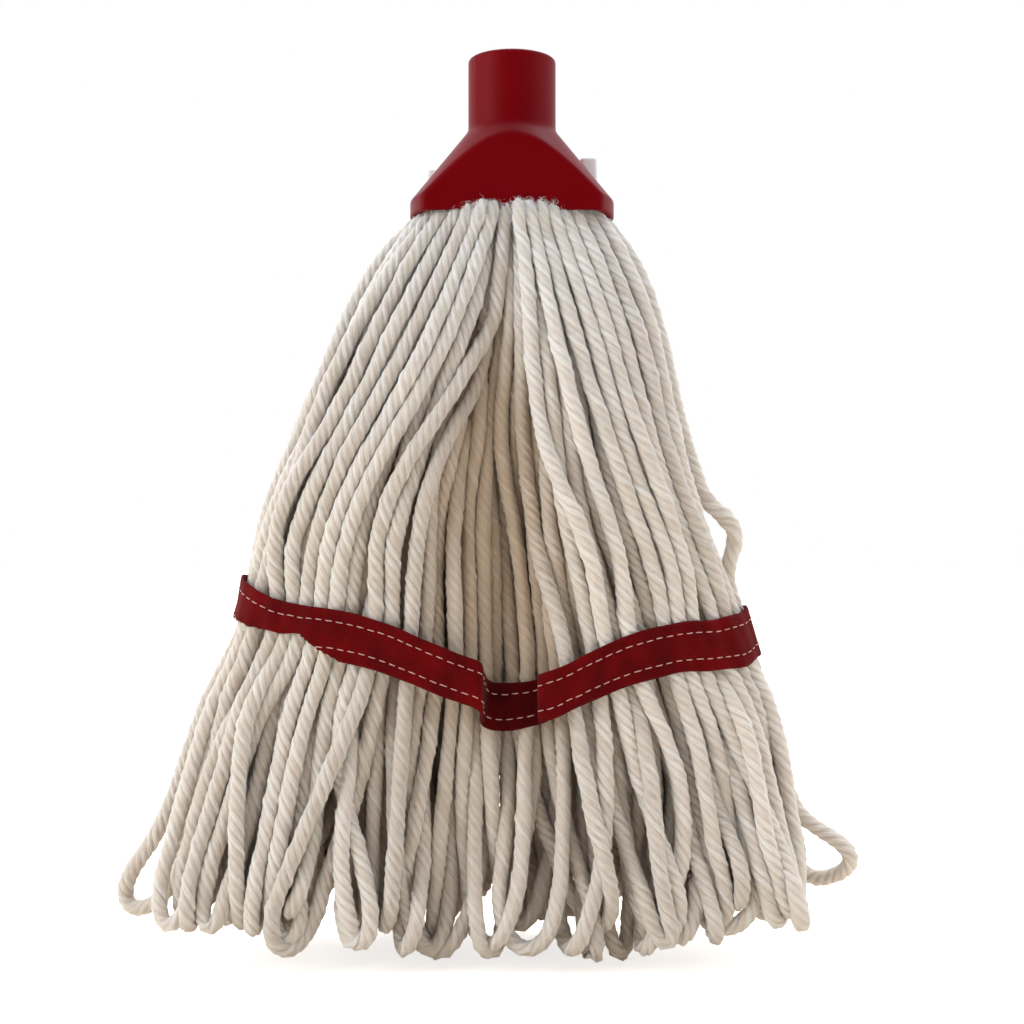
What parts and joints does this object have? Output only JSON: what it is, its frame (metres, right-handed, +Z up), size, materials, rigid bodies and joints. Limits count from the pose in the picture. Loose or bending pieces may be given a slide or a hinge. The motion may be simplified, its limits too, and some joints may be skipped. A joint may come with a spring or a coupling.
{
  "type": "string mop head",
  "caption": "Mop head with a plastic handle socket flaring to a flat-faced bell, a looped twisted-yarn skirt that swings at the bell's mouth, and a stitched tape band round it.",
  "frame": {"origin": "centre of the socket's rim, where a handle goes in", "axes": "+Z up along the socket, out of its mouth; +X to the right of the bell's front face; the front face looks along -Y"},
  "size_m": [0.285, 0.0839, 0.338],
  "materials": {
    "socket_plastic": "satin",
    "retainer_plastic": "satin",
    "yarn": "matte",
    "tape": "matte",
    "thread": "matte"
  },
  "bodies": {
    "socket": {"socket": "socket_plastic", "yarn_retainer": "retainer_plastic", "yarn_fold_front": "yarn", "yarn_fold_back": "yarn", "yarn_fold_top": "yarn"},
    "skirt": {"yarn_front_1": "yarn", "yarn_front_2": "yarn", "yarn_front_3": "yarn", "yarn_front_4": "yarn", "yarn_front_5": "yarn", "yarn_front_6": "yarn", "yarn_front_7": "yarn", "yarn_front_8": "yarn", "yarn_back_1": "yarn", "yarn_back_2": "yarn", "yarn_back_3": "yarn", "yarn_back_4": "yarn", "yarn_back_5": "yarn", "yarn_back_6": "yarn", "yarn_back_7": "yarn", "yarn_back_8": "yarn", "stray_loop_lower_left": "yarn", "stray_loop_upper_right": "yarn", "stray_loop_lower_right": "yarn", "tape_band": "tape", "stitch_upper_front": "thread", "stitch_upper_back": "thread", "stitch_lower_front": "thread", "stitch_lower_back": "thread"}
  },
  "joints": [
    {"name": "skirt_swing", "type": "hinge", "parent": "socket", "child": "skirt", "pos_m": [0, 0, -0.0732], "axis": [1, 0, 0], "range_deg": [-50, 50]}
  ]
}
